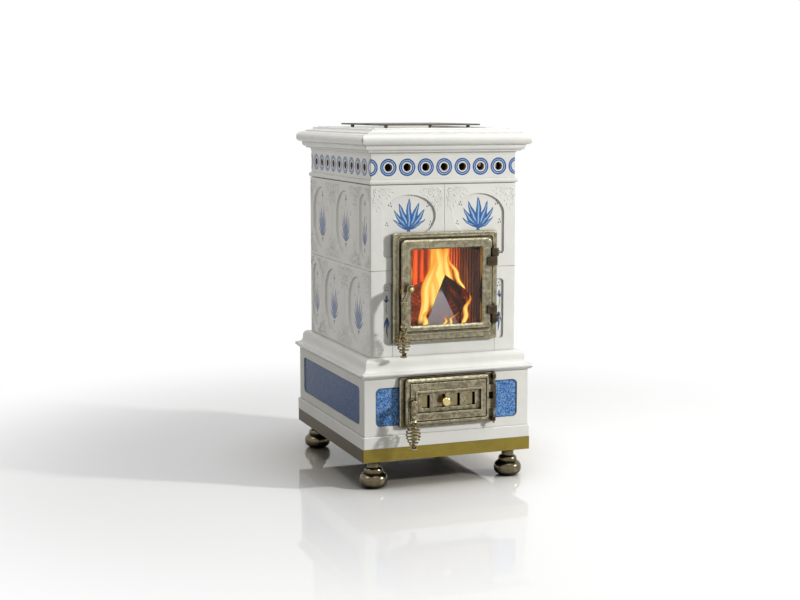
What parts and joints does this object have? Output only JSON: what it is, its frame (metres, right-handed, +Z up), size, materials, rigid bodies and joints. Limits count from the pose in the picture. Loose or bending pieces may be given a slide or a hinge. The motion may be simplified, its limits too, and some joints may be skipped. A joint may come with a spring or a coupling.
{
  "type": "tiled wood stove",
  "caption": "Square tiled wood stove on bun feet with a glazed fire door, an ash door with an air slide, a pierced frieze and a moulded crown.",
  "frame": {"origin": "on the floor, under the middle of the body, which is the bottom centre of the whole part's box", "axes": "+X to the viewer's right across the front, +Y from the doors to the flue, +Z up"},
  "size_m": [0.5, 0.7116, 0.9645],
  "materials": {
    "white_glaze": "gloss",
    "band_brass": "satin",
    "door_brass": "antique satin",
    "dark_bronze": "dark satin",
    "foot_bronze": "dark gloss",
    "bright_brass": "polished",
    "cast_iron": "matt",
    "sheet_steel": "matt",
    "flue_steel": "matt",
    "screw_steel": "satin",
    "firebrick": "matt",
    "door_glass": "clear",
    "seal_rope": "matt"
  },
  "bodies": {
    "stove": {"foot_front_left": "foot_bronze", "foot_front_right": "foot_bronze", "foot_back_left": "foot_bronze", "foot_back_right": "foot_bronze", "base_frame": "sheet_steel", "firebox_shell": "sheet_steel", "top_frame": "sheet_steel", "ash_pan": "sheet_steel", "brass_band": "band_brass", "skirt": "white_glaze", "base_panel_front": "white_glaze", "base_panel_left": "white_glaze", "base_panel_right": "white_glaze", "base_panel_back": "white_glaze", "plinth_moulding": "white_glaze", "lower_tile_front_left": "white_glaze", "lower_tile_front_right": "white_glaze", "lower_tile_back_left": "white_glaze", "lower_tile_back_right": "white_glaze", "lower_tile_left": "white_glaze", "lower_tile_right": "white_glaze", "lower_strip_front": "white_glaze", "upper_tile_front_left": "white_glaze", "upper_tile_front_right": "white_glaze", "upper_tile_back_left": "white_glaze", "upper_tile_back_right": "white_glaze", "upper_tile_left": "white_glaze", "upper_tile_right": "white_glaze", "upper_tile_back": "white_glaze", "frieze": "white_glaze", "crown": "white_glaze", "hearth_plate": "cast_iron", "grate": "cast_iron", "baffle": "cast_iron", "top_plate": "cast_iron", "flue_collar": "flue_steel", "firebrick_back": "firebrick", "firebrick_left": "firebrick", "firebrick_right": "firebrick", "door_frame": "door_brass", "ash_door_frame": "door_brass", "hinge_pins": "dark_bronze", "ash_hinge_pin": "dark_bronze", "hinge_set_screws": "screw_steel"},
    "fire_door": {"door_leaf": "door_brass", "door_glass": "door_glass", "glass_gasket": "seal_rope", "glass_clips": "screw_steel", "clip_screws": "screw_steel", "door_gasket": "seal_rope"},
    "fire_door_handle": {"door_handle": "dark_bronze", "door_handle_grip": "dark_bronze", "door_handle_nut": "bright_brass", "door_latch_cam": "dark_bronze"},
    "ash_door": {"ash_door_leaf": "door_brass"},
    "ash_door_handle": {"ash_handle": "dark_bronze", "ash_handle_grip": "dark_bronze", "ash_latch_cam": "dark_bronze"},
    "air_control": {"air_slide": "screw_steel", "air_knob": "bright_brass"}
  },
  "joints": [
    {"name": "fire_door_hinge", "type": "hinge", "parent": "stove", "child": "fire_door", "pos_m": [0.1365, -0.284, 0.535], "axis": [0, 0, 1], "range_deg": [0, 110]},
    {"name": "fire_door_handle_turn", "type": "hinge", "parent": "fire_door", "child": "fire_door_handle", "pos_m": [-0.115, -0.3, 0.538], "axis": [0, 1, 0], "range_deg": [0, 95]},
    {"name": "ash_door_hinge", "type": "hinge", "parent": "stove", "child": "ash_door", "pos_m": [0.129, -0.305, 0.2345], "axis": [0, 0, 1], "range_deg": [0, 110]},
    {"name": "ash_door_handle_turn", "type": "hinge", "parent": "ash_door", "child": "ash_door_handle", "pos_m": [-0.113, -0.32, 0.235], "axis": [0, 1, 0], "range_deg": [0, 95]},
    {"name": "air_control_slide", "type": "slide", "parent": "ash_door", "child": "air_control", "axis": [1, 0, 0], "range_m": [-0.017, 0.022]}
  ]
}
